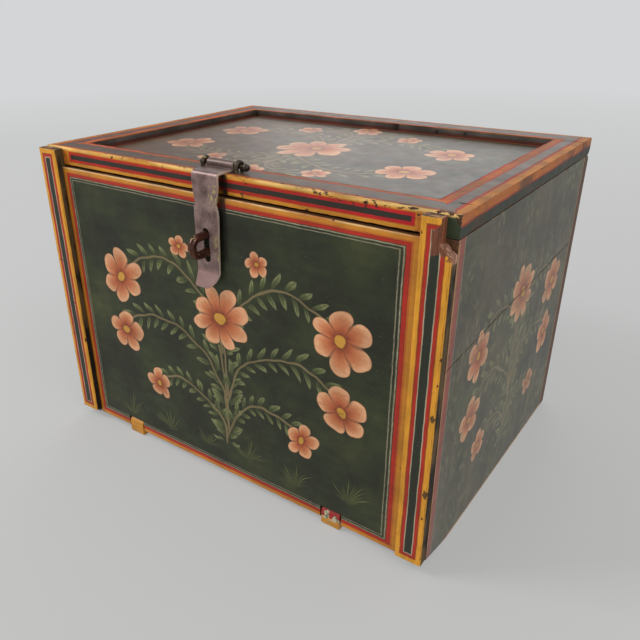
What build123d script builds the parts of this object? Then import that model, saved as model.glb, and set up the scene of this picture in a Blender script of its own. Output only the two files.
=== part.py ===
from build123d import *
import os
from math import cos, radians, sin, tan

# A painted wooden apothecary box: a carcass of planks, a framed lid hinged at the back,
# a front that drops on two wooden knuckles, and an iron hasp over a staple.
# Millimetres. X runs along the front, Y from front to back, Z up, and the box stands on Z = 0.
# The origin is under the middle of the whole box, the staple's reach included.

os.makedirs("parts", exist_ok=True)

# Driving dimensions
box_width = 450
box_height = 320
carcass_depth = 336
staple_reach = 29  # how far the staple stands out in front of the walls
wall = 14  # thickness of the carcass planks
lid_depth = 16.9  # height of the lid's rails
rail_width = 30
stile_width = 25
stile_proud = 10  # how far the stiles stand out in front of the walls
front_thickness = 12
front_proud = 3.3  # how far the drop front stands out in front of the walls
seam = 0.6  # between the walls and the lid
side_gap = 0.8  # between the drop front and each stile

# Planes that many pieces share
half_width = box_width / 2
front = staple_reach - (carcass_depth + staple_reach) / 2  # Y of the walls' front edges
back = front + carcass_depth
inside = half_width - wall  # X of the side walls' inner faces
back_inside = back - wall
lid_bottom = box_height - lid_depth
wall_top = lid_bottom - seam
plank_joint = 205  # height of the joint between the lower and upper planks
joint_gap = 0.4

# Base
base_thickness = 14
rabbet = 7  # how far the base board is let into the walls
base_front = front + 9.5

# Nails
nail_radius, nail_head_radius, nail_head = 1.2, 2.4, 1.0

# Drop front and its wooden hinge
front_face = front - front_proud
front_back = front_face + front_thickness
front_bottom, front_top = 6.6, 301.5
front_half = half_width - stile_width - side_gap
bullnose = front_thickness / 2
pivot_y = front_face + bullnose
pivot_z = front_bottom + bullnose
knuckle_places = (-137, 129)
knuckle_width, knuckle_radius, knuckle_gap = 20, 6.9, 1.7
knuckle_pin_radius, pin_clearance, knuckle_pin_reach = 1.75, 0.05, 14

# Staple
staple_x = -2.5
staple_legs = (251, 267)  # heights of its two legs
staple_wire, staple_shank = 3.0, 2.2
clench = 12

# Hasp
hasp_width, hasp_thickness = 29, 2.2
hasp_pin_radius = 2.0
hasp_pin_heads = {-22.5: 2.9, 26.5: 3.5}  # X and radius of the peened head at each end
hasp_pivot_y = front + 16
hasp_clear = 0.3  # between the strap and the lid's top
hasp_gap = 2.7  # between the strap and the drop front
hasp_pivot_z = box_height + hasp_clear + hasp_thickness + hasp_pin_radius + pin_clearance
eye_wire, eye_depth, eye_x = 1.9, 12, 19

# Rear hinges
hinge_places = (-130, 130)
hinge_length, leaf_thickness, leaf_reach = 36, 1.4, 9
hinge_inset = 4  # the pin's distance in front of the back face
hinge_y = back - hinge_inset
hinge_z = wall_top + seam / 2
hinge_barrel, hinge_pin, hinge_relief = 3.1, 1.5, 3.6
lid_stop = 50.8  # each of the two chamfers that meet when the lid stands open

# Lid
lid_front = front + 0.5
panel_recess = 8
panel_thickness = 7
panel_tongue = 5  # how far the lid panel is let into the rails
lap = lid_bottom + lid_depth / 2  # height at which the rails are halved at the corners

# Inside
shelf_top, shelf_thickness = 144, 8
cleat = 10
tray_front_top, divider_top = 232, 284
divider, tray_front_thickness = 6, 7
columns, rows = 4, 3


def block(x, y, z, mode=Mode.ADD):
    # a square-edged piece between two limits on each axis
    middle = tuple((low + high) / 2 for low, high in (x, y, z))
    with Locations(middle):
        Box(x[1] - x[0], y[1] - y[0], z[1] - z[0], mode=mode)


def nails(places, into, length, mode=Mode.ADD):
    # nails with flat heads, flush at each place and driven along the given direction
    start = (Align.CENTER, Align.CENTER, Align.MIN)
    for place in places:
        with Locations(Plane(origin=place, z_dir=into)):
            Cylinder(nail_radius, length, align=start, mode=mode)
            Cylinder(nail_head_radius, nail_head, align=start, mode=mode)


def side_nails(places, length, mode=Mode.ADD):
    # nails driven sideways, away from the middle of the box
    for place in places:
        nails([place], (1 if place[0] > 0 else -1, 0, 0), length, mode)


def rod(x, y, z, radius, mode=Mode.ADD):
    # a round bar along X between two limits
    with Locations(((x[0] + x[1]) / 2, y, z)):
        Cylinder(radius, x[1] - x[0], rotation=(0, 90, 0), mode=mode)


def keep(piece, name):
    piece.part.label = name
    export_step(piece.part, f"parts/{name}.step")


sides = {"left": -1, "right": 1}
side_middle = half_width - wall / 2
stile_nail_places = [
    (side * (half_width - stile_width), front + 5.5, z) for side in (-1, 1) for z in (45, 155, 262)
]
base_nail_places = [
    (side * (inside + rabbet / 2), y, 0)
    for side in (-1, 1)
    for y in (front + 45, front + 130, front + 215, front + 300)
] + [(x, back - wall + rabbet / 2, 0) for x in (-160, -80, 0, 80, 160)]
back_nail_places = [
    (side * side_middle, back, z) for side in (-1, 1) for z in (28, 105, 182, 228, 283)
]
cleat_nail_places = [
    (side * (inside - cleat), y, shelf_top - shelf_thickness - cleat / 2)
    for side in (-1, 1)
    for y in (front + 50, front + 165, front + 280)
]
stile_nail_length, base_nail_length, back_nail_length, cleat_nail_length = 22, 30, 40, 20
base_edges = dict(x=(-inside - rabbet, inside + rabbet), y=(base_front, back - wall + rabbet))
base_edges["z"] = (0, base_thickness)

# Base board, let into a rabbet along the walls and mortised for the two knuckles
tenon_x, tenon_y, tenon_z = knuckle_width / 2 - 2, base_front + 20, (4, 10)
with BuildPart() as base_board:
    block(**base_edges)
    for x in knuckle_places:
        block((x - tenon_x, x + tenon_x), (base_front, tenon_y), tenon_z, Mode.SUBTRACT)
    nails(base_nail_places, (0, 0, 1), base_nail_length, Mode.SUBTRACT)
keep(base_board, "base_board")

# Side walls: two planks each, whose front edges lean back a little towards the foot
foot_gap, head_gap = 2.0, 0.3


def wall_front(z):
    # Y of the side planks' front edge at a height
    return front + foot_gap + (head_gap - foot_gap) * z / wall_top


plank_levels = {
    "lower": (0, plank_joint - joint_gap / 2),
    "upper": (plank_joint + joint_gap / 2, wall_top),
}
for side_name, side in sides.items():
    for level, (low, high) in plank_levels.items():
        with BuildPart() as side_plank:
            with BuildSketch(Plane.YZ.offset(side * side_middle)):
                with BuildLine():
                    Polyline(
                        (wall_front(low), low),
                        (back_inside, low),
                        (back_inside, high),
                        (wall_front(high), high),
                        close=True,
                    )
                make_face()
            extrude(amount=wall / 2, both=True)
            block(**base_edges, mode=Mode.SUBTRACT)
            side_nails(stile_nail_places, stile_nail_length, Mode.SUBTRACT)
            side_nails(cleat_nail_places, cleat_nail_length, Mode.SUBTRACT)
            nails(base_nail_places, (0, 0, 1), base_nail_length, Mode.SUBTRACT)
            nails(back_nail_places, (0, -1, 0), back_nail_length, Mode.SUBTRACT)
        keep(side_plank, f"side_plank_{side_name}_{level}")

# Back wall: two boards across the ends of the side planks. The upper one is chamfered at the
# back of its top edge, and let in for the hinge leaves and their barrels.
drop = hinge_inset * tan(radians(lid_stop)) + 1
for level, (low, high) in plank_levels.items():
    with BuildPart() as back_board:
        block((-half_width, half_width), (back_inside, back), (low, high))
        block(**base_edges, mode=Mode.SUBTRACT)
        nails(base_nail_places, (0, 0, 1), base_nail_length, Mode.SUBTRACT)
        nails(back_nail_places, (0, -1, 0), back_nail_length, Mode.SUBTRACT)
        if level == "upper":
            with BuildSketch(Plane.YZ):
                with BuildLine():
                    Polyline(
                        (hinge_y, hinge_z),
                        (hinge_y + drop / tan(radians(lid_stop)), hinge_z - drop),
                        (back + 2, hinge_z),
                        close=True,
                    )
                make_face()
            extrude(amount=half_width, both=True, mode=Mode.SUBTRACT)
            for x in hinge_places:
                span = (x - hinge_length / 2, x + hinge_length / 2)
                leaf_z = (wall_top - leaf_thickness, wall_top)
                block(span, (hinge_y - leaf_reach, hinge_y), leaf_z, Mode.SUBTRACT)
                rod(span, hinge_y, hinge_z, hinge_relief, Mode.SUBTRACT)
                screw_places = [(x + dx, hinge_y - 6, wall_top) for dx in (-11, 11)]
                nails(screw_places, (0, 0, -1), 14, Mode.SUBTRACT)
    keep(back_board, f"back_board_{level}")

# Stiles: a painted strip in front of each side wall, with a rib that backs it inside the wall.
# The right one has lost its outer top corner.
stile_foot, stile_top, rib_top = 11, 319, 302
stile_inner = half_width - stile_width
break_outline = [(215.5, 322), (215.5, 300), (218.5, 298), (221, 295), (226, 292.5), (226, 322)]
for side_name, side in sides.items():
    with BuildPart() as stile:
        strip_x = sorted((side * stile_inner, side * half_width))
        block(strip_x, (front - stile_proud, front), (stile_foot, stile_top))
        outer = stile.edges().filter_by(Axis.Z).group_by(Axis.Y)[0]
        fillet(outer, 1.6)
        rib_x = sorted((side * stile_inner, side * inside))
        block(rib_x, (front, base_front - 0.1), (stile_foot, rib_top))
        side_nails(stile_nail_places, stile_nail_length, Mode.SUBTRACT)
        if side_name == "right":
            with BuildSketch(Plane.XZ.offset(-front)):
                with BuildLine():
                    Polyline(*break_outline, close=True)
                make_face()
            extrude(amount=stile_proud + 1, mode=Mode.SUBTRACT)
    keep(stile, f"stile_{side_name}")

with BuildPart() as stile_nails:
    side_nails(stile_nail_places, stile_nail_length)
keep(stile_nails, "stile_nails")

with BuildPart() as base_nails:
    nails(base_nail_places, (0, 0, 1), base_nail_length)
keep(base_nails, "base_nails")

with BuildPart() as back_nails:
    nails(back_nail_places, (0, -1, 0), back_nail_length)
keep(back_nails, "back_nails")

# Wooden hinge knuckles, tenoned into the base's front edge and rounded about the pivot
knuckle_foot, knuckle_round = 0.5, 2
for name, x in zip(("left", "right"), knuckle_places):
    with BuildPart() as knuckle:
        with BuildSketch(Plane.YZ.offset(x)):
            with BuildLine():
                Polyline(
                    (pivot_y, pivot_z + knuckle_radius),
                    (base_front, base_thickness),
                    (base_front, knuckle_foot),
                    (pivot_y - knuckle_radius + knuckle_round, knuckle_foot),
                )
                TangentArc(
                    (pivot_y - knuckle_radius + knuckle_round, knuckle_foot),
                    (pivot_y - knuckle_radius, knuckle_foot + knuckle_round),
                    tangent=(-1, 0),
                )
                Line(
                    (pivot_y - knuckle_radius, knuckle_foot + knuckle_round),
                    (pivot_y - knuckle_radius, pivot_z),
                )
                CenterArc((pivot_y, pivot_z), knuckle_radius, 90, 90)
            make_face()
        extrude(amount=knuckle_width / 2, both=True)
        block((x - tenon_x, x + tenon_x), (base_front, tenon_y), tenon_z)
        bore = knuckle_pin_radius + pin_clearance
        rod((x - knuckle_width, x + knuckle_width), pivot_y, pivot_z, bore, Mode.SUBTRACT)
    keep(knuckle, f"front_knuckle_{name}")

pin_half = knuckle_width / 2 + knuckle_gap + knuckle_pin_reach
with BuildPart() as knuckle_pins:
    for x in knuckle_places:
        rod((x - pin_half, x + pin_half), pivot_y, pivot_z, knuckle_pin_radius)
keep(knuckle_pins, "front_knuckle_pins")

# Drop front: one board, rounded under its back edge so that it can turn, notched and bored
with BuildPart() as drop_front:
    with BuildSketch(Plane.YZ):
        with BuildLine():
            Polyline(
                (pivot_y, front_bottom),
                (front_face, front_bottom),
                (front_face, front_top),
                (front_back, front_top),
                (front_back, pivot_z),
            )
            CenterArc((pivot_y, pivot_z), bullnose, 270, 90)
        make_face()
    extrude(amount=front_half, both=True)
    face_edges = drop_front.edges().filter_by(Axis.X).group_by(Axis.Y)[0]
    fillet(face_edges, 1.2)
    notch_top = pivot_z + knuckle_radius + 0.9
    for x in knuckle_places:
        notch = knuckle_width / 2 + knuckle_gap
        block((x - notch, x + notch), (front_face, front_back), (0, notch_top), Mode.SUBTRACT)
        bore_half = pin_half + 0.3
        bore = knuckle_pin_radius + pin_clearance
        rod((x - bore_half, x + bore_half), pivot_y, pivot_z, bore, Mode.SUBTRACT)
    for z in staple_legs:
        with Locations(Plane(origin=(staple_x, front_face, z), z_dir=(0, 1, 0))):
            Cylinder(staple_shank, 60, mode=Mode.SUBTRACT)
keep(drop_front, "drop_front_board")

# Staple: a forged loop in front of the drop front, with two shanks through it that are
# clenched up and down on its back
loop_radius = (staple_legs[1] - staple_legs[0]) / 2
loop_y = front - staple_reach + staple_wire + loop_radius
loop_z = sum(staple_legs) / 2
with BuildPart() as staple:
    with BuildLine(Plane.YZ.offset(staple_x)) as loop_line:
        Line((front_face, staple_legs[0]), (loop_y, staple_legs[0]))
        ThreePointArc(
            (loop_y, staple_legs[0]), (loop_y - loop_radius, loop_z), (loop_y, staple_legs[1])
        )
        Line((loop_y, staple_legs[1]), (front_face, staple_legs[1]))
    with BuildSketch(Plane(origin=(staple_x, front_face, staple_legs[0]), z_dir=(0, -1, 0))):
        Circle(staple_wire)
    sweep(path=loop_line.wires()[0])
    for z, way in zip(staple_legs, (-1, 1)):
        with Locations(Plane(origin=(staple_x, front_face, z), z_dir=(0, 1, 0))):
            Cylinder(
                staple_shank,
                front_thickness + staple_shank,
                align=(Align.CENTER, Align.CENTER, Align.MIN),
            )
        with Locations((staple_x, front_back + staple_shank, z + way * clench / 2)):
            Cylinder(staple_shank, clench)
        with Locations((staple_x, front_back + staple_shank, z)):
            Sphere(staple_shank)
keep(staple, "staple")

# Lid: four halved rails round a panel whose edges lie in their groove
panel_x = half_width - rail_width + panel_tongue
panel_y = (lid_front + rail_width - panel_tongue, back - rail_width + panel_tongue)
panel_z = (box_height - panel_recess - panel_thickness, box_height - panel_recess)
rail_inner = half_width - rail_width
lid_nail_places = [
    (side * (half_width - dx), y, lid_bottom)
    for side in (-1, 1)
    for dx, y in ((9, lid_front + 21), (21, lid_front + 9), (9, back - 21), (21, back - 9))
]
lid_nail_length = 14
back_rail_front = back - rail_width
inner_nail_places = [(66, back_rail_front, 315), (100, back_rail_front, 315.5)]
eye_radius = hasp_pin_radius + pin_clearance + eye_wire

end_rails = {"front": (lid_front, lid_front + rail_width), "back": (back_rail_front, back)}
for name, (near, far) in end_rails.items():
    with BuildPart() as end_rail:
        block((-half_width, half_width), (near, far), (lid_bottom, box_height))
        outer_face = end_rail.faces().sort_by(Axis.Y)[0 if name == "front" else -1]
        fillet(outer_face.edges().filter_by(Axis.X).sort_by(Axis.Z)[-1:], 1.5)
        for side in (-1, 1):
            lap_x = sorted((side * rail_inner, side * half_width))
            block(lap_x, (near, far), (lid_bottom, lap), Mode.SUBTRACT)
        block((-panel_x, panel_x), panel_y, panel_z, Mode.SUBTRACT)
        nails(lid_nail_places, (0, 0, 1), lid_nail_length, Mode.SUBTRACT)
        if name == "front":
            for side in (-1, 1):
                for dy in (-eye_radius, eye_radius):
                    with Locations((side * eye_x, hasp_pivot_y + dy, box_height)):
                        Cylinder(eye_wire, 2 * eye_depth, mode=Mode.SUBTRACT)
        else:
            nails(inner_nail_places, (0, 1, 0), 12, Mode.SUBTRACT)
            with BuildSketch(Plane.YZ):
                with BuildLine():
                    Polyline(
                        (hinge_y, hinge_z),
                        (hinge_y + drop / tan(radians(lid_stop)), hinge_z + drop),
                        (back + 2, hinge_z),
                        close=True,
                    )
                make_face()
            extrude(amount=half_width, both=True, mode=Mode.SUBTRACT)
            for x in hinge_places:
                span = (x - hinge_length / 2, x + hinge_length / 2)
                leaf_z = (lid_bottom, lid_bottom + leaf_thickness)
                block(span, (hinge_y - leaf_reach, hinge_y), leaf_z, Mode.SUBTRACT)
                rod(span, hinge_y, hinge_z, hinge_relief, Mode.SUBTRACT)
                screw_places = [(x + dx, hinge_y - 6, lid_bottom) for dx in (-11, 11)]
                nails(screw_places, (0, 0, 1), 12, Mode.SUBTRACT)
    keep(end_rail, f"lid_rail_{name}")

for side_name, side in sides.items():
    with BuildPart() as side_rail:
        rail_x = sorted((side * rail_inner, side * half_width))
        block(rail_x, (lid_front, back), (lid_bottom, box_height))
        for near, far in end_rails.values():
            block(rail_x, (near, far), (lap, box_height), Mode.SUBTRACT)
        block((-panel_x, panel_x), panel_y, panel_z, Mode.SUBTRACT)
        nails(lid_nail_places, (0, 0, 1), lid_nail_length, Mode.SUBTRACT)
        with BuildSketch(Plane.YZ):
            with BuildLine():
                Polyline(
                    (hinge_y, hinge_z),
                    (hinge_y + drop / tan(radians(lid_stop)), hinge_z + drop),
                    (back + 2, hinge_z),
                    close=True,
                )
            make_face()
        extrude(amount=half_width, both=True, mode=Mode.SUBTRACT)
    keep(side_rail, f"lid_rail_{side_name}")

panel_nail_place = (100, front + 281.6, panel_z[1])
with BuildPart() as lid_panel:
    block((-panel_x, panel_x), panel_y, panel_z)
    nails([panel_nail_place], (0, 0, -1), panel_thickness, Mode.SUBTRACT)
keep(lid_panel, "lid_panel")

with BuildPart() as lid_nails:
    nails(lid_nail_places, (0, 0, 1), lid_nail_length)
keep(lid_nails, "lid_nails")

with BuildPart() as panel_nails:
    nails([panel_nail_place], (0, 0, -1), panel_thickness)
    nails(inner_nail_places, (0, 1, 0), 12)
keep(panel_nails, "lid_panel_nails")

# Rear hinges: a leaf under the lid's back rail and one on the wall, on a pin in three barrels
barrel = hinge_length / 3
barrel_gap = 0.25
leaf_ends = {
    "wall": (wall_top - leaf_thickness, wall_top),
    "lid": (lid_bottom, lid_bottom + leaf_thickness),
}
own_barrels = {"wall": [0], "lid": [-barrel, barrel]}
for name, leaf_z in leaf_ends.items():
    face_z, into = (wall_top, (0, 0, -1)) if name == "wall" else (lid_bottom, (0, 0, 1))
    screw_length = 14 if name == "wall" else 12
    screws = [(x + dx, hinge_y - 6, face_z) for x in hinge_places for dx in (-11, 11)]
    with BuildPart() as leaves:
        for x in hinge_places:
            leaf_x = (x - hinge_length / 2, x + hinge_length / 2)
            block(leaf_x, (hinge_y - leaf_reach, hinge_y - hinge_relief), leaf_z)
            for dx in own_barrels[name]:
                barrel_half = barrel / 2 - barrel_gap
                barrel_x = (x + dx - barrel_half, x + dx + barrel_half)
                block(barrel_x, (hinge_y - hinge_relief, hinge_y), leaf_z)
                rod(barrel_x, hinge_y, hinge_z, hinge_barrel)
        nails(screws, into, screw_length, Mode.SUBTRACT)
        for x in hinge_places:
            bore_x = (x - hinge_length, x + hinge_length)
            rod(bore_x, hinge_y, hinge_z, hinge_pin + pin_clearance, Mode.SUBTRACT)
    keep(leaves, f"rear_hinge_{name}_leaves")
    with BuildPart() as leaf_nails:
        nails(screws, into, screw_length)
    keep(leaf_nails, f"rear_hinge_{name}_nails")

with BuildPart() as hinge_pins:
    for x in hinge_places:
        rod((x - hinge_length / 2, x + hinge_length / 2), hinge_y, hinge_z, hinge_pin)
keep(hinge_pins, "rear_hinge_pins")

# Hasp: the strap is rolled round its pin, bent over the lid's edge and lipped at its foot.
# Its outline narrows to a waist at the seam and drifts a little to the left, as forged.
strap_top = hasp_pivot_z - hasp_pin_radius - pin_clearance - hasp_thickness / 2
strap_y = front_face - hasp_gap - hasp_thickness / 2
lip_z, lip_length, lip_angle = 232, 15, 22
lip_end_y = strap_y - lip_length * sin(radians(lip_angle))
lip_end = (lip_end_y, lip_z - lip_length * cos(radians(lip_angle)))
slot_width, slot_ends = 8, (241.5, 273)
with BuildPart() as hasp_strap:
    with BuildSketch(Plane.YZ) as strap_profile:
        with BuildLine():
            FilletPolyline(
                (hasp_pivot_y, strap_top), (strap_y, strap_top), (strap_y, lip_z), lip_end, radius=2.9
            )
        trace(line_width=hasp_thickness)
        with Locations((hasp_pivot_y, hasp_pivot_z)):
            Circle(hasp_pin_radius + pin_clearance + hasp_thickness)
    extrude(amount=hasp_width / 2, both=True)
    bore = hasp_pin_radius + pin_clearance
    rod((-hasp_width, hasp_width), hasp_pivot_y, hasp_pivot_z, bore, Mode.SUBTRACT)
    with BuildSketch(Plane.XZ.offset(-front - 40)):
        with BuildLine():
            Line((14.5, 335), (14.5, 316))
            ThreePointArc((14.5, 316), (13.7, 305), (11.2, 295))
            ThreePointArc((11.2, 295), (12.5, 290.5), (13.2, 285))
            Line((13.2, 285), (11.2, 236))
            ThreePointArc((11.2, 236), (6.6, 223), (-6, 216.8))
            ThreePointArc((-6, 216.8), (-14.2, 219.5), (-17.2, 228))
            Line((-17.2, 228), (-15.8, 285))
            ThreePointArc((-15.8, 285), (-14.6, 290.5), (-12.4, 295))
            ThreePointArc((-12.4, 295), (-14.1, 305), (-14.5, 316))
            Polyline((-14.5, 316), (-14.5, 335), (14.5, 335))
        make_face()
        slot_middle = (staple_x, sum(slot_ends) / 2)
        with Locations(slot_middle):
            SlotOverall(slot_ends[1] - slot_ends[0], slot_width, rotation=90, mode=Mode.SUBTRACT)
    extrude(amount=80, both=True, mode=Mode.INTERSECT)
keep(hasp_strap, "hasp_strap")

with BuildPart() as hasp_pin:
    rod(tuple(hasp_pin_heads), hasp_pivot_y, hasp_pivot_z, hasp_pin_radius)
    for x, head_radius in hasp_pin_heads.items():
        with Locations((x, hasp_pivot_y, hasp_pivot_z)):
            Sphere(head_radius)
keep(hasp_pin, "hasp_pin")

with BuildPart() as hasp_eyes:
    for side in (-1, 1):
        with BuildLine(Plane.YZ.offset(side * eye_x)) as eye_line:
            Line(
                (hasp_pivot_y - eye_radius, box_height - eye_depth),
                (hasp_pivot_y - eye_radius, hasp_pivot_z),
            )
            ThreePointArc(
                (hasp_pivot_y - eye_radius, hasp_pivot_z),
                (hasp_pivot_y, hasp_pivot_z + eye_radius),
                (hasp_pivot_y + eye_radius, hasp_pivot_z),
            )
            Line(
                (hasp_pivot_y + eye_radius, hasp_pivot_z),
                (hasp_pivot_y + eye_radius, box_height - eye_depth),
            )
        foot = (side * eye_x, hasp_pivot_y - eye_radius, box_height - eye_depth)
        with BuildSketch(Plane(origin=foot, z_dir=(0, 0, 1))):
            Circle(eye_wire)
        sweep(path=eye_line.wires()[0])
keep(hasp_eyes, "hasp_eyes")

# Inside: a shelf on two cleats, an upright partition under it, and a tray of lapped dividers
shelf_bottom = shelf_top - shelf_thickness
with BuildPart() as shelf:
    block((-inside, inside), (base_front, back_inside), (shelf_bottom, shelf_top))
keep(shelf, "shelf")

for side_name, side in sides.items():
    with BuildPart() as shelf_cleat:
        cleat_x = sorted((side * (inside - cleat), side * inside))
        block(cleat_x, (base_front + 3, back_inside), (shelf_bottom - cleat, shelf_bottom))
        side_nails(cleat_nail_places, cleat_nail_length, Mode.SUBTRACT)
    keep(shelf_cleat, f"shelf_cleat_{side_name}")

with BuildPart() as cleat_nails:
    side_nails(cleat_nail_places, cleat_nail_length)
keep(cleat_nails, "shelf_cleat_nails")

with BuildPart() as partition:
    block((-5, 5), (base_front, back_inside), (base_thickness, shelf_bottom))
keep(partition, "partition")

tray_back = base_front + tray_front_thickness
with BuildPart() as tray_front:
    block((-inside, inside), (base_front, tray_back), (shelf_top, tray_front_top))
keep(tray_front, "tray_front")

column = (2 * inside - (columns - 1) * divider) / columns
row = (back_inside - tray_back - (rows - 1) * divider) / rows
short_places = [-inside + (n + 1) * column + (n + 0.5) * divider for n in range(columns - 1)]
long_places = [tray_back + (n + 1) * row + (n + 0.5) * divider for n in range(rows - 1)]
lap_height = (shelf_top + divider_top) / 2
half = divider / 2
for number, y in enumerate(long_places, 1):
    with BuildPart() as long_divider:
        block((-inside, inside), (y - half, y + half), (shelf_top, divider_top))
        for x in short_places:
            lap_x, lap_y = (x - half, x + half), (y - half, y + half)
            block(lap_x, lap_y, (lap_height, divider_top), Mode.SUBTRACT)
    keep(long_divider, f"divider_long_{number}")
for number, x in enumerate(short_places, 1):
    with BuildPart() as short_divider:
        block((x - half, x + half), (tray_back, back_inside), (shelf_top, divider_top))
        for y in long_places:
            lap_x, lap_y = (x - half, x + half), (y - half, y + half)
            block(lap_x, lap_y, (shelf_top, lap_height), Mode.SUBTRACT)
    keep(short_divider, f"divider_short_{number}")
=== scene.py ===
from math import cos, radians, sin

import bpy
from mathutils import Matrix, Vector


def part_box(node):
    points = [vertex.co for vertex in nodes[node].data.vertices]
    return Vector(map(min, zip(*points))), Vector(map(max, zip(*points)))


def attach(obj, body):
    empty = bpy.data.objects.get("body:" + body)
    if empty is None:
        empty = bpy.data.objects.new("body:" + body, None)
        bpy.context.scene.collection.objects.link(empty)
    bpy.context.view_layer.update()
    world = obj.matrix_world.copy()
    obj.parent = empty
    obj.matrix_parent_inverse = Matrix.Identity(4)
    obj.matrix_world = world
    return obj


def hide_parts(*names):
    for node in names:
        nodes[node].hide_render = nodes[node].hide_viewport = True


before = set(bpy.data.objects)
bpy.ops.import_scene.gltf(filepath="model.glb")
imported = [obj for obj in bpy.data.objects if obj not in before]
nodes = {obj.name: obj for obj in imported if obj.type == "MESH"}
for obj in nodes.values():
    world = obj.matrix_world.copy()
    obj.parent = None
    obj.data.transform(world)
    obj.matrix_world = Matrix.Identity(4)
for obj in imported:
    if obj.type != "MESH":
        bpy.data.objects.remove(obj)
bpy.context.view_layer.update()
mm = 0.001
halfWidth = 225  # in millimetres, as in the CAD
front = -153.5  # nominal Y of the walls' front edges
back = front + 336
wallTop = 302.5
print("frame loaded:", len(nodes), "nodes")


# Small tools

def pick(piece):  # selects this piece only and makes it active
    if bpy.context.object and bpy.context.object.mode != "OBJECT":
        bpy.ops.object.mode_set(mode="OBJECT")
    bpy.ops.object.select_all(action="DESELECT")
    piece.select_set(True)
    bpy.context.view_layer.objects.active = piece


def editAll(piece):  # edit mode with everything selected
    pick(piece)
    bpy.ops.object.mode_set(mode="EDIT")
    bpy.ops.mesh.select_all(action="SELECT")


def modify(piece, kind, **settings):  # adds a modifier and applies it
    pick(piece)
    modifier = piece.modifiers.new(kind.title(), kind)
    for key, value in settings.items():
        setattr(modifier, key, value)
    bpy.ops.object.modifier_apply(modifier=modifier.name)


def bevelEdges(piece, width):  # rounds the edges, width in millimetres
    modify(piece, "BEVEL", width=width * mm, segments=2, limit_method="ANGLE", angle_limit=radians(40))


def smooth(piece, angle=50):
    pick(piece)
    bpy.ops.object.shade_smooth_by_angle(angle=radians(angle))
    modify(piece, "WEIGHTED_NORMAL", keep_sharp=True)


def cut(low, high, axis, count):  # slices across an axis, in edit mode, evenly from low to high
    direction = [0, 0, 0]
    direction[axis] = 1
    for n in range(count):
        place = list(low)
        place[axis] = low[axis] + (high[axis] - low[axis]) * (n + 0.5) / count
        bpy.ops.mesh.select_all(action="SELECT")
        bpy.ops.mesh.bisect(plane_co=place, plane_no=direction)


def fromNode(node, name):  # a merged copy of a CAD node, with its flat faces whole
    piece = bpy.data.objects.new(name, nodes[node].data.copy())
    bpy.context.scene.collection.objects.link(piece)
    piece.data.materials.clear()
    editAll(piece)
    bpy.ops.mesh.remove_doubles(threshold=1e-5)
    bpy.ops.mesh.dissolve_limited(angle_limit=radians(0.4))
    bpy.ops.object.mode_set(mode="OBJECT")
    return piece


def noiseTexture(name, size, depth, contrast):  # the unevenness that a displacement follows
    texture = bpy.data.textures.new(name, "CLOUDS")
    texture.noise_scale, texture.noise_depth, texture.contrast = size * mm, depth, contrast
    return texture


def settle(piece, node, body, finish):  # its finish, body and CAD node
    piece.data.materials.clear()
    piece.data.materials.append(finishes[finish])
    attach(piece, body)
    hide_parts(node)


# Shader maths

class Wire:  # a shader socket that works in Python expressions
    def __init__(self, shading, socket):
        self.shading, self.socket = shading, socket

    def maths(self, operation, *values):
        return self.shading.maths(operation, *values)

    def __add__(self, other):
        return self.maths("ADD", self, other)

    def __sub__(self, other):
        return self.maths("SUBTRACT", self, other)

    def __rsub__(self, other):
        return self.maths("SUBTRACT", other, self)

    def __mul__(self, other):
        return self.maths("MULTIPLY", self, other)

    def __truediv__(self, other):
        return self.maths("DIVIDE", self, other)

    def __pow__(self, other):
        return self.maths("POWER", self, other)

    def __neg__(self):
        return self.maths("MULTIPLY", self, -1)

    def __abs__(self):
        return self.maths("ABSOLUTE", self)

    __radd__, __rmul__ = __add__, __mul__


class Shading:  # a shader's nodes and the ways to add to them
    def __init__(self, tree):
        self.tree = tree

    def add(self, kind, settings=None, inputs=(), output=0):
        node = self.tree.nodes.new("ShaderNode" + kind)
        for key, value in (settings or {}).items():
            if key == "stops":
                ramp = node.color_ramp
                while len(ramp.elements) < len(value):
                    ramp.elements.new(0.5)
                for element, (position, colour) in zip(ramp.elements, value):
                    element.position, element.color = position, colour
            else:
                setattr(node, key, value)
        pairs = inputs.items() if isinstance(inputs, dict) else enumerate(inputs)
        for key, value in pairs:
            self.connect(value, node.inputs[key])
        return Wire(self, node.outputs[output])

    def connect(self, value, target):  # a wire is linked, a plain value is set
        if isinstance(value, Wire):
            self.tree.links.new(value.socket, target)
        else:
            target.default_value = value

    def maths(self, operation, *values):
        return self.add("Math", {"operation": operation}, values)

    def least(self, first, *others):
        for value in others:
            first = self.maths("MINIMUM", first, value)
        return first

    def most(self, first, *others):
        for value in others:
            first = self.maths("MAXIMUM", first, value)
        return first

    def seenRays(self):  # 1 for the camera's own rays, and 1 for what it sees in gloss or through glass
        rays = self.add("LightPath").socket.node.outputs
        names = ("Is Camera Ray", "Is Glossy Ray", "Is Transmission Ray")
        direct, glossy, through = [Wire(self, rays[name]) for name in names]
        return direct, self.most(glossy, through)


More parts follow.
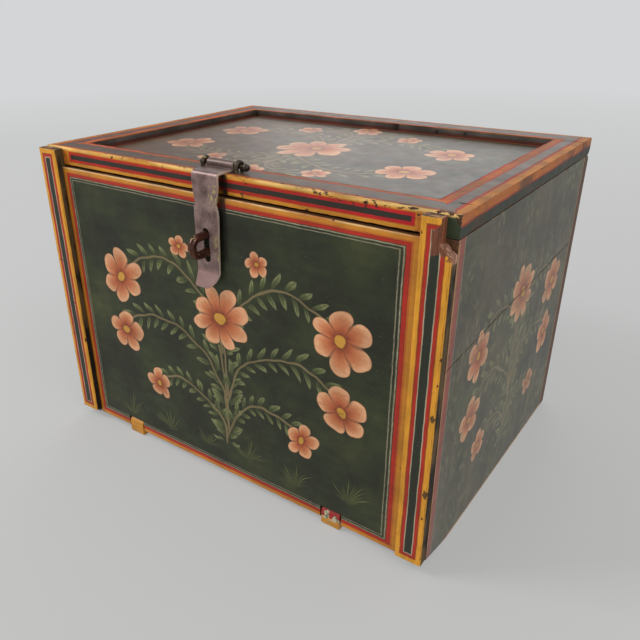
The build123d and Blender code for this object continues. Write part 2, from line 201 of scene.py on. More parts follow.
class Finish(Shading):  # one material, with what paints its surface
    def __init__(self, name):
        self.material = bpy.data.materials.new(name)
        self.material.use_nodes = True
        super().__init__(self.material.node_tree)
        self.shader = self.tree.nodes["Principled BSDF"]
        self.place = self.add("TexCoord", output="Object")
        self.x, self.y, self.z = [wire * (1 / mm) for wire in self.split(self.place)]  # in millimetres
        self.faceX, self.faceY, self.faceZ = self.split(self.add("TexCoord", output="Normal"))

    def split(self, vector):  # its x, y and z
        parts = self.add("SeparateXYZ", inputs=[vector]).socket.node.outputs
        return [Wire(self, part) for part in parts]

    def step(self, value, edge, soft=0.3):  # 0 below the edge, 1 above it
        ends = {"Value": value, "From Min": edge - soft / 2, "From Max": edge + soft / 2}
        return self.add("MapRange", {}, ends)

    def band(self, value, low, high, soft=0.3):  # 1 between the two, 0 outside
        return self.step(value, low, soft) * (1 - self.step(value, high, soft))

    def noise(self, size, detail=3.0, stretch=(1, 1, 1), shift=0.0, roughness=0.5):
        # size is the grain of the noise in millimetres
        scale = [1000 / size / s for s in stretch]
        spot = self.add("Mapping", {}, {"Vector": self.place, "Location": (shift,) * 3, "Scale": scale})
        grain = {"Vector": spot, "Scale": 1, "Detail": detail, "Roughness": roughness}
        return self.add("TexNoise", {}, grain)

    def layer(self, under, over, mask):  # paints one colour over another
        settings = {"data_type": "RGBA", "clamp_factor": True}
        return self.add("Mix", settings, {0: mask, 6: under, 7: over}, 2)

    def tone(self, colour, value):  # darkens or lightens a colour by a number
        settings = {"data_type": "RGBA", "blend_type": "MULTIPLY"}
        grey = self.add("CombineColor", {}, [value, value, value])
        return self.add("Mix", settings, {0: 1.0, 6: colour, 7: grey}, 2)

    def ramp(self, value, *stops):  # each stop is a value from 0 to 1 and its colour
        return self.add("ValToRGB", {"stops": stops}, [value])

    def stripes(self, distance, colours):  # each is where it starts and its colour, from the edge inwards
        painted = colours[0][1]
        for start, colour in colours[1:]:
            painted = self.layer(painted, colour, self.step(distance, start, 0.35))
        return painted

    def close(self, colour, rough, height=None, strength=0.3, depth=0.4, **fixed):  # fills the shader
        pairs = {"Base Color": colour, "Roughness": rough, **fixed}
        if height is not None:
            ends = {"Strength": strength, "Distance": depth * mm, "Height": height}
            pairs["Normal"] = self.add("Bump", {}, ends)
        for key, value in pairs.items():
            self.connect(value, self.shader.inputs[key])
        return self.material


def rgb(red, green, blue):  # a colour as a paint chart gives it, 0 to 255
    def linear(c):
        c /= 255
        return c / 12.92 if c <= 0.04045 else ((c + 0.055) / 1.055) ** 2.4
    return (linear(red), linear(green), linear(blue), 1)


paints = {
    "ochre": rgb(222, 150, 44),
    "red": rgb(188, 42, 22),
    "white": rgb(186, 174, 144),
    "green": rgb(42, 48, 34),
    "dark": rgb(52, 46, 38),
    "wood": rgb(92, 52, 28),
    # pale ground of worn paint, also used as a painted edge highlight
    "chalkAndHighlight": rgb(240, 214, 160),
    "grime": rgb(34, 22, 10),
    "dust": rgb(168, 156, 120),
    "brass": rgb(196, 176, 122),
    "rust": rgb(40, 26, 20),
}


# Camera, at the photograph's place

camera = {
    "place": (0.3846, -0.5653, 0.4490),  # in metres
    "turn": 36.19,
    "tilt": -26.49,
    "roll": -0.65,
    "lens": 37.15,
    "shift": (0.0447, 0.0163),
}


def makeCamera(c):
    data = bpy.data.cameras.new("camera")
    item = bpy.data.objects.new("camera", data)
    bpy.context.scene.collection.objects.link(item)
    turn, tilt, roll = (radians(c[k]) for k in ("turn", "tilt", "roll"))
    ahead = Vector((-sin(turn) * cos(tilt), cos(turn) * cos(tilt), sin(tilt)))
    right = Vector((cos(turn), sin(turn), 0))
    up = right.cross(ahead)
    across = cos(roll) * right + sin(roll) * up
    upright = cos(roll) * up - sin(roll) * right
    grid = Matrix((across, upright, -ahead)).transposed().to_4x4()
    grid.translation = c["place"]
    item.matrix_world = grid
    data.lens, data.sensor_width = c["lens"], 36
    data.shift_x, data.shift_y = c["shift"]
    data.clip_start, data.clip_end = 0.01, 50
    bpy.context.scene.camera = item


makeCamera(camera)
print("camera made")


# Floor, backdrop and light

studio = {
    "size": 24.0,  # in metres, like the places and sizes of the lamps
    "cuts": 7,
    "grey": rgb(206, 206, 205),
    "near": rgb(192, 192, 190),
    "far": rgb(211, 213, 214),
    "fade": (1900, 3200),  # how many millimetres off near turns into far, and over how many
    "lit": (1500, 1800),  # the same for the lit floor, which gives way to the even tones
    "shadow": 0.42,  # how much of the lit floor shows in its colour near the box
    "lamps": [  # place, size, watts
        ((-1.7, -1.3, 1.9), 0.9, 34),
        ((1.9, -0.6, 1.5), 1.4, 12),
        ((-0.9, 2.3, 1.3), 1.8, 16),
    ],
    "aim": (0, 0, 0.15),
    "sky": (0.95, 0.97, 1, 1),
    "skyStrength": 0.52,
}


def paintFloor(s):  # pale paper: lit where the box stands, an even tone further off
    f = Finish("paleFloor")
    f.close(s["grey"], 0.8)
    away = (f.x * f.x + f.y * f.y) ** 0.5
    pale = f.layer(s["near"], s["far"], f.step(away, *s["fade"]))
    even = f.add("Emission", {}, {"Color": pale, "Strength": 1.0})
    direct, others = f.seenRays()
    share = f.most(direct * (1 - (1 - f.step(away, *s["lit"])) * s["shadow"]), others)
    mixed = f.add("MixShader", {}, [share, Wire(f, f.shader.outputs[0]), even])
    f.connect(mixed, f.tree.nodes["Material Output"].inputs[0])
    return f.material


def makeFloor(s):
    bpy.ops.object.select_all(action="DESELECT")
    bpy.ops.mesh.primitive_plane_add(size=s["size"])
    floor = bpy.context.object
    floor.name = "floor"
    bpy.ops.object.mode_set(mode="EDIT")
    bpy.ops.mesh.subdivide(number_cuts=s["cuts"])
    bpy.ops.object.mode_set(mode="OBJECT")
    floor.data.materials.append(paintFloor(s))


def hangLamp(place, size, watts, aim):
    light = bpy.data.lights.new("softLamp", "AREA")
    light.shape, light.size, light.energy = "SQUARE", size, watts
    lamp = bpy.data.objects.new("softLamp", light)
    bpy.context.scene.collection.objects.link(lamp)
    lamp.location = place
    lamp.rotation_euler = (Vector(aim) - Vector(place)).to_track_quat("-Z", "Y").to_euler()
    lamp.visible_camera = False


def lightRoom(s):  # soft light from all round, which is seen as the far tone
    world = bpy.data.worlds.new("softRoom")
    bpy.context.scene.world = world
    world.use_nodes = True
    room = Shading(world.node_tree)
    room.tree.nodes.remove(room.tree.nodes["Background"])
    soft = room.add("Background", {}, {"Color": s["sky"], "Strength": s["skyStrength"]})
    plain = room.add("Background", {}, {"Color": s["far"], "Strength": 1.0})
    mixed = room.add("MixShader", {}, [room.most(*room.seenRays()), soft, plain])
    room.connect(mixed, room.tree.nodes["World Output"].inputs[0])


makeFloor(studio)
for place, size, watts in studio["lamps"]:
    hangLamp(place, size, watts, studio["aim"])
lightRoom(studio)
bpy.context.scene.view_settings.view_transform = "Standard"
print("studio made")


# Paint

def edgeOf(f, box):  # how far a point on a piece is from the piece's nearest edge, in millimetres
    (x0, y0, z0), (x1, y1, z1) = [tuple(v / mm for v in corner) for corner in box]
    a = f.least(f.x - x0, x1 - f.x)
    b = f.least(f.y - y0, y1 - f.y)
    c = f.least(f.z - z0, z1 - f.z)
    return f.most(f.least(a, b), f.least(f.most(a, b), c))


grainOf = {"x": (9, 1, 1), "y": (1, 9, 1), "z": (1, 1, 9)}  # stretches brush marks along a piece
longGrain = {"x": (14, 1, 1), "y": (1, 14, 1), "z": (1, 1, 14)}  # and the grain of bare wood


def wearAndClose(f, painted, box, wear=1.0, gloss=0.46, along="x", shine=0.4, streaks=1.0, matt=0.0):
    # worn edges, scratches, brush marks, grime and varnish over a painted colour
    edge = edgeOf(f, box)
    blotch = f.noise(9, 4, shift=3.1)
    fine = f.noise(1.6, 4, shift=1.7)
    rub = f.step(blotch * 3.2 + fine * 1.6 - edge * (1.0 / wear), 2.62, 0.25)
    chip = f.step(f.noise(14, 6, shift=8.3, roughness=0.62) - edge * 0.012 / wear, 0.638, 0.01)
    scored = f.step(f.noise(2.2, 2, grainOf[along], 5.5), 0.73, 0.03)
    scratch = scored * f.step(f.noise(40, 2, shift=2.2), 0.52, 0.08)
    smear = f.noise(3.4, 4, grainOf[along], 6.1, 0.6)
    shade = f.noise(26, 4, shift=0.4) * 0.42 + smear * 0.46 + 0.56
    colour = f.tone(painted, shade)
    colour = f.layer(colour, paints["grime"], f.step(smear, 0.56, 0.2) * 0.34 * streaks)
    colour = f.layer(colour, paints["grime"], f.step(f.noise(34, 5, shift=12.4), 0.55, 0.25) * 0.22)
    # cream on worn edges: the pale ground showing through, and in part a painted edge highlight
    colour = f.layer(colour, paints["chalkAndHighlight"], rub * f.step(fine, 0.47, 0.1) * 0.7)
    colour = f.layer(colour, paints["wood"], f.most(chip, rub * f.step(fine, 0.54, 0.06)))
    colour = f.layer(colour, paints["grime"], scratch * 0.5)
    speck = f.step(f.noise(1.3, 2, shift=19.4), 0.72, 0.05)
    speck = speck * f.step(f.noise(50, 3, shift=20.1), 0.48, 0.2)
    colour = f.layer(colour, paints["dust"], speck * 0.35)
    rough = f.noise(12, 4, shift=7.7) * 0.2 + (gloss - 0.1) + f.most(rub, chip) * 0.3 + matt * 0.45
    height = smear * 0.4 + f.noise(30, 2) * 0.3 - f.most(rub, chip) * 0.9
    varnish = {"Specular IOR Level": shine, "Coat Weight": 0.08, "Coat Roughness": 0.35}
    return f.close(colour, rough, height, 0.3, 0.4, **varnish)


def ground(f, shift=0.0):  # dark green field, brushed and clouded
    cloud = f.noise(70, 5, shift=4.2 + shift, roughness=0.62)
    brushed = f.noise(9, 4, (3, 3, 1), shift)
    return f.ramp(
        cloud * 0.8 + brushed * 0.2,
        (0.34, rgb(28, 31, 18)), (0.48, rgb(42, 48, 28)), (0.58, rgb(54, 61, 33)), (0.7, rgb(76, 80, 44)),
    )


def blossom(f, field, u, v, b):  # petals round a small heart
    a, c = u - b["at"][0], v - b["at"][1]
    far = (a * a + c * c) ** 0.5
    lobe = abs(f.maths("SINE", f.maths("ARCTAN2", c, a) * (b["petals"] / 2) + b.get("turn", 0)))
    rim = (lobe ** 0.55 * 0.44 + 0.56) * b["reach"]
    depth = far / rim
    dab = f.noise(3.0, 3, shift=b["reach"]) * 0.34 - 0.17
    petal = f.ramp(
        depth * 0.92 + dab * depth,
        (0.12, rgb(112, 46, 26)), (0.34, rgb(190, 98, 58)), (0.62, rgb(218, 138, 90)),
        (0.86, rgb(240, 180, 134)), (0.97, rgb(226, 150, 104)), (1.0, rgb(136, 74, 44)),
    )
    crease = (1 - f.step(lobe, 0.2, 0.3)) * f.step(depth, 0.2, 0.2)
    petal = f.layer(petal, rgb(126, 60, 36), crease * 0.75)
    petal = f.layer(petal, rgb(216, 158, 60), 1 - f.step(far, b["reach"] * 0.17, 0.8))
    return f.layer(field, petal, 1 - f.step(far - rim, 0, 0.9))


def stem(f, field, u, v, s):  # a bowed stem with pointed leaves on both its sides
    a, c = s["at"][0] - u, v - s["at"][1]
    off = (a * a + c * c) ** 0.5 - s["radius"]
    angle = f.maths("ARCTAN2", c, a)
    pitch, length, width = s.get("leaf", (15, 15, 3.4))
    here = f.band(angle, 0.0, s["stop"], 3 / s["radius"])
    run = angle * (s["radius"] / pitch) - abs(off) * (0.75 / pitch) + f.step(off, 0, 0.1) * 0.5
    part = abs(f.maths("FRACT", run + 4) - 0.5) * pitch
    out = abs(off) / length
    leaf = f.step(out * (1 - out) * (4 * width) - part, 0, 0.8)
    green = f.ramp(
        out + f.noise(4, 3, shift=2.6) * 0.6 - 0.3,
        (0.1, rgb(60, 66, 36)), (0.5, rgb(98, 106, 62)), (0.9, rgb(150, 152, 100)),
    )
    green = f.layer(green, rgb(48, 54, 32), (1 - f.step(part, 0.5, 0.5)) * 0.6)
    field = f.layer(field, green, leaf * here * 0.92)
    return f.layer(field, rgb(136, 120, 82), (1 - f.step(abs(off), 1.1, 0.9)) * here * 0.9)


def tufts(f, field, u, v, t):  # grass in clumps along a line
    which = f.maths("FLOOR", u / t["gap"])
    chance = f.add("TexWhiteNoise", {"noise_dimensions": "1D"}, {"W": which})
    a = (f.maths("FRACT", u / t["gap"] + 8) - 0.5) * t["gap"]
    c = v - t["foot"] - chance * t["rise"]
    far = (a * a + c * c) ** 0.5
    angle = f.maths("ARCTAN2", a, c)
    run = angle * (7.5 - far * 0.05) + chance * 5 + 40
    blade = f.add("TexWhiteNoise", {"noise_dimensions": "1D"}, {"W": f.maths("FLOOR", run) + which * 13})
    slim = (1 - far / (blade * (0.7 * t["reach"]) + 0.4 * t["reach"])) * 0.36
    drawn = f.step(slim - abs(f.maths("FRACT", run) - 0.5), 0, 0.1) * (1 - f.step(abs(angle), 1.15, 0.1))
    tip = f.layer(rgb(66, 74, 36), rgb(150, 156, 84), far / t["reach"])
    return f.layer(field, tip, drawn * f.step(c, 0, 0.8) * 0.8)


sprays = {  # flowering plants: a plan is mirrored about its middle line
    "front": {
        "tufts": [{"gap": 58, "foot": 27, "rise": 14, "reach": 25}],
        "stems": [
            {"at": (2000, 46), "radius": 2000, "stop": 0.064, "leaf": (19, 19, 4)},
            {"at": (78, 150), "radius": 78, "stop": 2.25}, {"at": (80, 84), "radius": 80, "stop": 2.2},
            {"at": (54, 48), "radius": 54, "stop": 2.2, "leaf": (12, 12, 3)},
        ],
        "blossoms": [
            {"at": (0, 187), "reach": 33, "petals": 8}, {"at": (133, 199), "reach": 29, "petals": 6},
            {"at": (134, 134), "reach": 25, "petals": 5, "turn": 0.6},
            {"at": (93, 84), "reach": 19, "petals": 5, "turn": 1.1},
            {"at": (44, 246), "reach": 13, "petals": 5, "turn": 0.3},
        ],
    },
    "panel": {
        "stems": [
            {"at": (2000, 0), "radius": 2000, "stop": 0.05, "leaf": (17, 17, 4)},
            {"at": (72, 0), "radius": 72, "stop": 2.35}, {"at": (36, 66), "radius": 36, "stop": 2.2},
        ],
        "blossoms": [
            {"at": (0, 0), "reach": 40, "petals": 8}, {"at": (130, 44), "reach": 26, "petals": 6},
            {"at": (62, 90), "reach": 16, "petals": 5, "turn": 0.5},
            {"at": (0, 112), "reach": 18, "petals": 6},
        ],
    },
    "side": {
        "tufts": [{"gap": 52, "foot": 14, "rise": 12, "reach": 24}],
        "stems": [
            {"at": (2000, 34), "radius": 2000, "stop": 0.078, "leaf": (18, 18, 4)},
            {"at": (58, 150), "radius": 58, "stop": 2.3}, {"at": (60, 86), "radius": 60, "stop": 2.25},
            {"at": (42, 44), "radius": 42, "stop": 2.1, "leaf": (12, 12, 3)},
        ],
        "blossoms": [
            {"at": (0, 204), "reach": 31, "petals": 8}, {"at": (101, 182), "reach": 25, "petals": 6},
            {"at": (102, 120), "reach": 23, "petals": 5, "turn": 0.7},
            {"at": (70, 74), "reach": 16, "petals": 5, "turn": 1.0},
        ],
    },
}


def plant(f, field, u, v, plan):  # leaves and blossoms painted free hand over a field
    u = u + f.noise(52, 2, shift=11.3) * 22 - 11
    v = v + f.noise(52, 2, shift=14.8) * 22 - 11
    for t in plan.get("tufts", []):
        field = tufts(f, field, u, v, t)
    half = abs(u)
    for s in plan["stems"]:
        field = stem(f, field, half, v, s)
    for b in plan["blossoms"]:
        field = blossom(f, field, half, v, b)
    return field


def strapShadowAndRubbed(f):  # painted shadow of the hasp's strap, strongest just to its right, with dark wear behind it, on the pieces it lies against
    low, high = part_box("hasp_strap")
    across = f.x + f.noise(7, 3, shift=24.1) * 2
    # mottled dark wear, plus a strong step just right of the strap that is a painted shadow
    shadowAndDirt = f.noise(8, 5, (1, 1, 2), 25.2) * 0.8 + f.step(across, high.x / mm - 3, 5) * 0.6 - 0.08
    return f.band(across, low.x / mm + 1, high.x / mm + 4.8, 2.6) * f.step(-f.faceY, 0.5, 0.2) * shadowAndDirt


def bareWood(f, dark, light, along="z"):  # raw grain, without paint
    return f.ramp(f.noise(2.6, 5, longGrain[along], 2.0, 0.65), (0.32, dark), (0.66, light))


stilePaint = {
    "stripes": [
        (0, rgb(238, 164, 44)), (4.5, rgb(206, 100, 28)), (5.4, paints["red"]), (8.2, paints["white"]),
        (9.1, paints["green"]),
    ],
    "seam": (4.8, 5.5),  # grime where the ochre meets the red
    "sides": (rgb(22, 14, 9), rgb(94, 74, 44)),
    "ends": (rgb(166, 118, 72), rgb(70, 42, 26)),
    "rawWood": (rgb(60, 30, 18), rgb(150, 88, 58)),
    "brokenWood": (rgb(104, 62, 46), rgb(206, 156, 130)),
    "chip": rgb(46, 34, 20),
    "rim": rgb(240, 212, 156),
}
stiles = {
    "Left": {"node": "stile_left"},
    "Right": {
        "node": "stile_right",
        "bare": (8.6, 292, 311),  # where the paint has gone: from this far in, between these heights
        "broken": (213.6, 287),  # where the break begins: X and height
        "splinters": 300,  # height up to which the broken wood is pale
        "chips": [(162, 3.4), (89, 4), (64, 2)],  # height and reach of each, on the outer edge
    },
}


def paintStile(side, s, p):
    f = Finish("stilePaint" + side)
    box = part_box(s["node"])
    low, high = (corner / mm for corner in box)
    wobble = f.noise(24, 3, shift=2.9) * 1.3 + f.noise(3.2, 3, (1, 1, 3), 2.1) * 0.9 - 1.1
    inward = f.least(f.x - low.x, high.x - f.x, f.z - low.z, high.z - f.z) + wobble
    striped = f.stripes(inward, p["stripes"])
    striped = f.layer(striped, paints["grime"], f.band(inward, *p["seam"], 0.6) * 0.55)
    facing = f.step(-f.faceY, 0.5, 0.2)
    ragged = f.z + f.noise(5, 5, shift=1.1) * 24 - 12
    raw = bareWood(f, *p["rawWood"])
    if "bare" in s:
        deep, bottom, top = s["bare"]
        bare = f.step(f.x - low.x + wobble * 2, deep, 0.6) * f.band(ragged, bottom, top, 2)
        striped = f.layer(striped, raw, bare)
    browned = f.step(f.noise(14, 5, (1, 1, 3)) + f.z * 0.0006, 0.6, 0.14)
    painted = f.layer(f.layer(*p["sides"], browned), striped, facing)
    for height, reach in s.get("chips", []):
        aside, above = f.x - high.x + 2.2, f.z - height
        away = (aside * aside * 4 + above * above) ** 0.5 + f.noise(3, 4, shift=26.3) * 7 - 3.5
        painted = f.layer(painted, p["chip"], (1 - f.step(away, reach, 0.8)) * 0.85)
    if "broken" in s:
        outer, bottom = s["broken"]
        torn = f.step(f.x, outer, 0.6) * f.step(f.z, bottom, 1.5) * (1 - facing)
        broken = f.layer(bareWood(f, *p["brokenWood"]), raw, f.step(ragged, s["splinters"], 3))
        painted = f.layer(painted, broken, torn)
    worn = f.layer(*p["ends"], f.step(f.noise(5, 4, shift=7.7), 0.5, 0.1))
    painted = f.layer(painted, worn, f.step(f.faceZ, 0.5, 0.3) * f.step(f.z, high.z - 6, 1))
    painted = f.layer(painted, p["rim"], facing * f.step(ragged, high.z + 0.5, 3) * 0.75)
    return wearAndClose(f, painted, box, 1.1, 0.5, along="z", shine=0.32, matt=1 - facing)


lidPaint = {  # stripes run in from the outer edges, in millimetres
    "face": [(0, paints["ochre"]), (2.9, rgb(204, 104, 30)), (3.6, paints["red"]), (6.2, paints["dark"])],
    "faceHeight": 16.9,
    "faceEnds": (194.6, 191.4, 201),  # where the stripes end, a redder part begins, and green begins
    "brightRed": rgb(204, 30, 36),  # the red towards the right-hand end
    "endGreen": rgb(62, 74, 52),
    "sideRails": [
        (0, rgb(204, 124, 30)), (7.4, rgb(176, 48, 30)), (10.3, paints["dark"]), (19.7, paints["red"]),
        (21.4, rgb(188, 96, 28)), (28.0, paints["red"]),
    ],
    "endRails": [
        (0, paints["ochre"]), (3.0, rgb(190, 104, 30)), (5.2, rgb(170, 50, 30)), (6.6, paints["dark"]),
        (24.0, paints["red"]), (25.4, rgb(190, 104, 50)), (28.4, paints["red"]),
    ],
    "sideBand": (10.3, 19.7),
    "endBand": (6.6, 24.0),
    "sidePlain": (10.3, 19.9, 30),  # matt stripes: up to the first, and between the other two
    "endPlain": (6.6, 24, 30),
    # brown of dust, and of the painted weaker sheen towards the left
    "dust": rgb(108, 70, 46),
    "stain": rgb(96, 66, 32),
    "flank": [(0, rgb(186, 104, 34)), (7.0, rgb(150, 52, 34)), (8.6, paints["green"])],
    "flankWear": rgb(74, 44, 24),
    "well": [(0, rgb(150, 108, 66)), (1.4, rgb(96, 92, 88)), (4.6, rgb(96, 48, 34))],
    "underside": (rgb(44, 27, 16), rgb(92, 60, 36)),
    # cream for the worn upper edge and its painted highlight
    "edgeWearAndHighlight": rgb(250, 206, 122),
    "knocks": rgb(66, 36, 20),
    # near black for the painted strap shadow and the wear behind the strap
    "shadowAndRubbing": rgb(20, 13, 8),
}


def lidFace(f, p, down, wobble):  # front and back faces: closed stripes between the ends
    end, redder, green = p["faceEnds"]
    closed = f.least(down, p["faceHeight"] - down, end - abs(f.x)) + wobble * 0.6
    red = f.layer(paints["red"], p["brightRed"], f.step(f.x, 120, 120))
    stripes = [(start, red if colour == paints["red"] else colour) for start, colour in p["face"]]
    painted = f.stripes(closed, stripes)
    closing = f.step(abs(f.x), redder, 0.5) * (1 - f.step(closed, 2.2, 0.6))
    painted = f.layer(painted, paints["red"], closing * 0.4)
    return f.layer(painted, p["endGreen"], f.step(abs(f.x), green, 0.6))


def lidCrestWearAndHighlight(f, p, painted, down):  # the front rail's upper edge: worn paint under a painted highlight, and knocked
    away = down + f.y - (front + 0.5)
    # a bright cream line on the upper edge: worn paint and a painted highlight
    bright = (1 - f.step(away, 2.2, 1.4)) * f.step(f.noise(12, 5, (4, 1, 1), 18.2), 0.44, 0.14)
    painted = f.layer(painted, p["edgeWearAndHighlight"], bright * 0.75)
    knocked = f.step(f.noise(5, 5, (1.6, 1, 1), 21.7) + f.x * 0.0004, 0.64, 0.04)
    return f.layer(painted, p["knocks"], (1 - f.step(away, 6.5, 2)) * knocked)


def plainStripes(f, distance, limits):  # 1 on the matt stripes, 0 on the dark band between them
    outer, inner, end = limits
    return f.most(1 - f.step(distance, outer), f.band(distance, inner, end))


def paintLid(p):
    f = Finish("lidPaint")
    box = (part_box("lid_rail_left")[0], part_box("lid_rail_right")[1])
    low, high = (corner / mm for corner in box)
    wobble = f.noise(25, 3, shift=1.9) * 1.2 + f.noise(3.4, 3, (2, 2, 1), 2.1) * 0.8 - 1.0
    down = high.z - f.z
    sideward = high.x - abs(f.x) + wobble
    forward = f.least(f.y - low.y, high.y - f.y) + wobble
    mitre = f.step(forward - sideward, 0, 0.3)  # 1 on the side rails, 0 on the front and back ones
    upward = f.step(f.faceZ, 0.6, 0.2)
    # top: dark bands, broad on the front and back rails and narrow on the side rails
    top = f.layer(f.stripes(forward, p["endRails"]), f.stripes(sideward, p["sideRails"]), mitre)
    sideBand, endBand = f.band(sideward, *p["sideBand"], 0.6), f.band(forward, *p["endBand"], 0.6)
    bands = sideBand * mitre + endBand * (1 - mitre)
    # brown dust at random, and more brown towards the left: a painted change in sheen, weaker on the left
    dustAndSheenGradient = (f.noise(18, 5, (3, 1, 1), 15.2) - f.x * 0.0007) * (bands * 0.46 + 0.12)
    top = f.layer(top, p["dust"], dustAndSheenGradient)
    top = f.layer(top, p["stain"], f.step(f.noise(20, 5, (1, 2, 1), 23.4), 0.52, 0.2) * 0.5)
    # outer side faces: ochre above, dark green below
    flank = f.stripes(down + wobble * 1.6, p["flank"])
    flank = f.layer(flank, p["flankWear"], f.step(f.noise(16, 5, (1, 2, 1), 3.7), 0.56, 0.1) * 0.7)
    painted = f.layer(flank, lidFace(f, p, down, wobble), f.step(abs(f.faceY), 0.6, 0.2))
    painted = f.layer(painted, top, upward)
    under = bareWood(f, *p["underside"], "x")
    painted = f.layer(painted, under, f.step(-f.faceZ, 0.6, 0.2))
    # inner faces, round the panel
    well = f.stripes(down + wobble, p["well"])
    well = f.layer(well, paints["dark"], f.step(f.noise(20, 4, (2, 2, 1), 9.1), 0.5, 0.2) * 0.7)
    painted = f.layer(painted, well, f.step(f.least(sideward, forward), 29.2, 0.5) * (1 - upward))
    painted = lidCrestWearAndHighlight(f, p, painted, down)
    # the painted strap shadow and wear, on the lid's front rail
    painted = f.layer(painted, p["shadowAndRubbing"], strapShadowAndRubbed(f))
    sidePlain, endPlain = plainStripes(f, sideward, p["sidePlain"]), plainStripes(f, forward, p["endPlain"])
    plain = (sidePlain * mitre + endPlain * (1 - mitre)) * upward
    return wearAndClose(f, painted, box, 1.3, 0.54, along="x", shine=0.26, matt=plain * 0.5)


frontPaint = {
    "border": [
        (0, rgb(204, 118, 34)), (1.4, rgb(214, 138, 38)), (4.2, rgb(204, 106, 30)), (5.6, paints["red"]),
    ],
    "rightBorder": 0.75,  # distances from the right edge count for less, so its border is broader
    "seam": (5.4, 6.0),
    "field": 8.6,
    "lines": [(9.2, 10.1, 1), (11.8, 12.6, 0.75)],  # from, to, strength
    "middle": 4,  # X of the plant
    # cream for the top edge's wear and painted highlight
    "edgeWearAndHighlight": rgb(240, 204, 136),
    "shadowAndRubbing": (244, rgb(12, 12, 8)),  # the painted strap shadow and wear begin at this height
    "inside": (rgb(50, 31, 18), rgb(104, 68, 40)),
}


def paintFront(p):
    f = Finish("frontPaint")
    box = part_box("drop_front_board")
    low, high = (corner / mm for corner in box)
    wobble = f.noise(28, 3, shift=3.9) * 1.0 + f.noise(3.2, 3, (2, 1, 2), 2.3) * 0.7 - 0.85
    inward = f.least(f.x - low.x, (high.x - f.x) * p["rightBorder"], high.z - f.z, f.z - low.z) + wobble
    painted = f.stripes(inward, p["border"])
    painted = f.layer(painted, paints["grime"], f.band(inward, *p["seam"], 0.6) * 0.35)
    field = plant(f, ground(f), f.x - p["middle"], f.z, sprays["front"])
    painted = f.layer(painted, field, f.step(inward, p["field"], 0.3))
    lines = f.most(*[f.band(inward, inner, outer, 0.4) * share for inner, outer, share in p["lines"]])
    painted = f.layer(painted, paints["white"], lines * (f.noise(5, 3, shift=4.4) * 1.1 + 0.15))
    # a cream line along the board's top edge: worn paint and a painted highlight
    edgeWearAndHighlight = f.step(f.z, high.z - 1.5, 0.8) * f.step(f.noise(12, 5, (4, 1, 1), 18.2), 0.42, 0.14)
    painted = f.layer(painted, p["edgeWearAndHighlight"], edgeWearAndHighlight * 0.7)
    bottom, shadowAndDirt = p["shadowAndRubbing"]
    # the painted strap shadow and wear, on the board above the staple
    painted = f.layer(painted, shadowAndDirt, strapShadowAndRubbed(f) * f.step(f.z, bottom, 6))
    inside = bareWood(f, *p["inside"], "x")
    painted = f.layer(inside, painted, f.step(-f.faceY, 0.5, 0.2))
    return wearAndClose(f, painted, box, 0.9, 0.5, along="x", shine=0.32, streaks=0.6)


sidePaint = {
    "edge": [
        (0, rgb(168, 118, 66)), (3.2, rgb(146, 62, 42)), (11.0, rgb(96, 44, 30)),
        (11.9, rgb(150, 128, 100)),
    ],
    "field": 13.0,
    "clouds": {"Left": 3.0, "Right": 6.0},
    "middle": 172,  # of the plant, from the front
    "flecks": rgb(136, 134, 96),
    "smoke": rgb(116, 98, 72),
    "foot": (2.6, rgb(164, 116, 46)),  # a thin stripe up to this height
    "rear": (319.6, rgb(150, 112, 52)),  # and one at the back from this far on
    "inside": (rgb(66, 42, 25), rgb(122, 82, 50)),
}


def paintSide(side, p):
    f = Finish("sidePaint" + side)
    box = (Vector((-halfWidth, front, 0)) * mm, Vector((halfWidth, back, wallTop)) * mm)
    wobble = f.noise(30, 3, shift=5.9) * 1.4 - 0.7
    inward = f.y - front + wobble
    field = plant(f, ground(f, p["clouds"][side]), f.y - (front + p["middle"]), f.z, sprays["side"])
    fleck = f.step(f.noise(4, 4, (1, 1.4, 2.6), 8.8), 0.57, 0.08)
    fleck = fleck * f.step(f.noise(60, 4, shift=3.3), 0.5, 0.12)
    field = f.layer(field, p["flecks"], fleck * 0.5)
    field = f.layer(field, p["smoke"], f.step(f.noise(46, 5, shift=22.5), 0.5, 0.4) * 0.44)
    painted = f.layer(f.stripes(inward, p["edge"]), field, f.step(inward, p["field"], 0.8))
    footTop, footColour = p["foot"]
    painted = f.layer(painted, footColour, 1 - f.step(f.z + wobble, footTop, 0.8))
    rearStart, rearColour = p["rear"]
    painted = f.layer(painted, rearColour, f.step(inward, rearStart, 0.6))
    outward = f.faceX if side == "Right" else -f.faceX
    inside = bareWood(f, *p["inside"], "y")
    painted = f.layer(inside, painted, f.step(outward, 0.5, 0.2))
    return wearAndClose(f, painted, box, 1.0, 0.44, along="y", shine=0.5)


panelPaint = {
    "edge": [(0, paints["dark"]), (1.2, rgb(176, 70, 44)), (3.4, paints["dark"])],
    "field": 4.0,
    "middle": (-8, 168),  # of the plant: X, and Y from the front
    # brown at random, and more of it to the left as a painted change in sheen
    "brown": rgb(112, 68, 44),
    "inside": (rgb(66, 42, 25), rgb(122, 82, 50)),
}


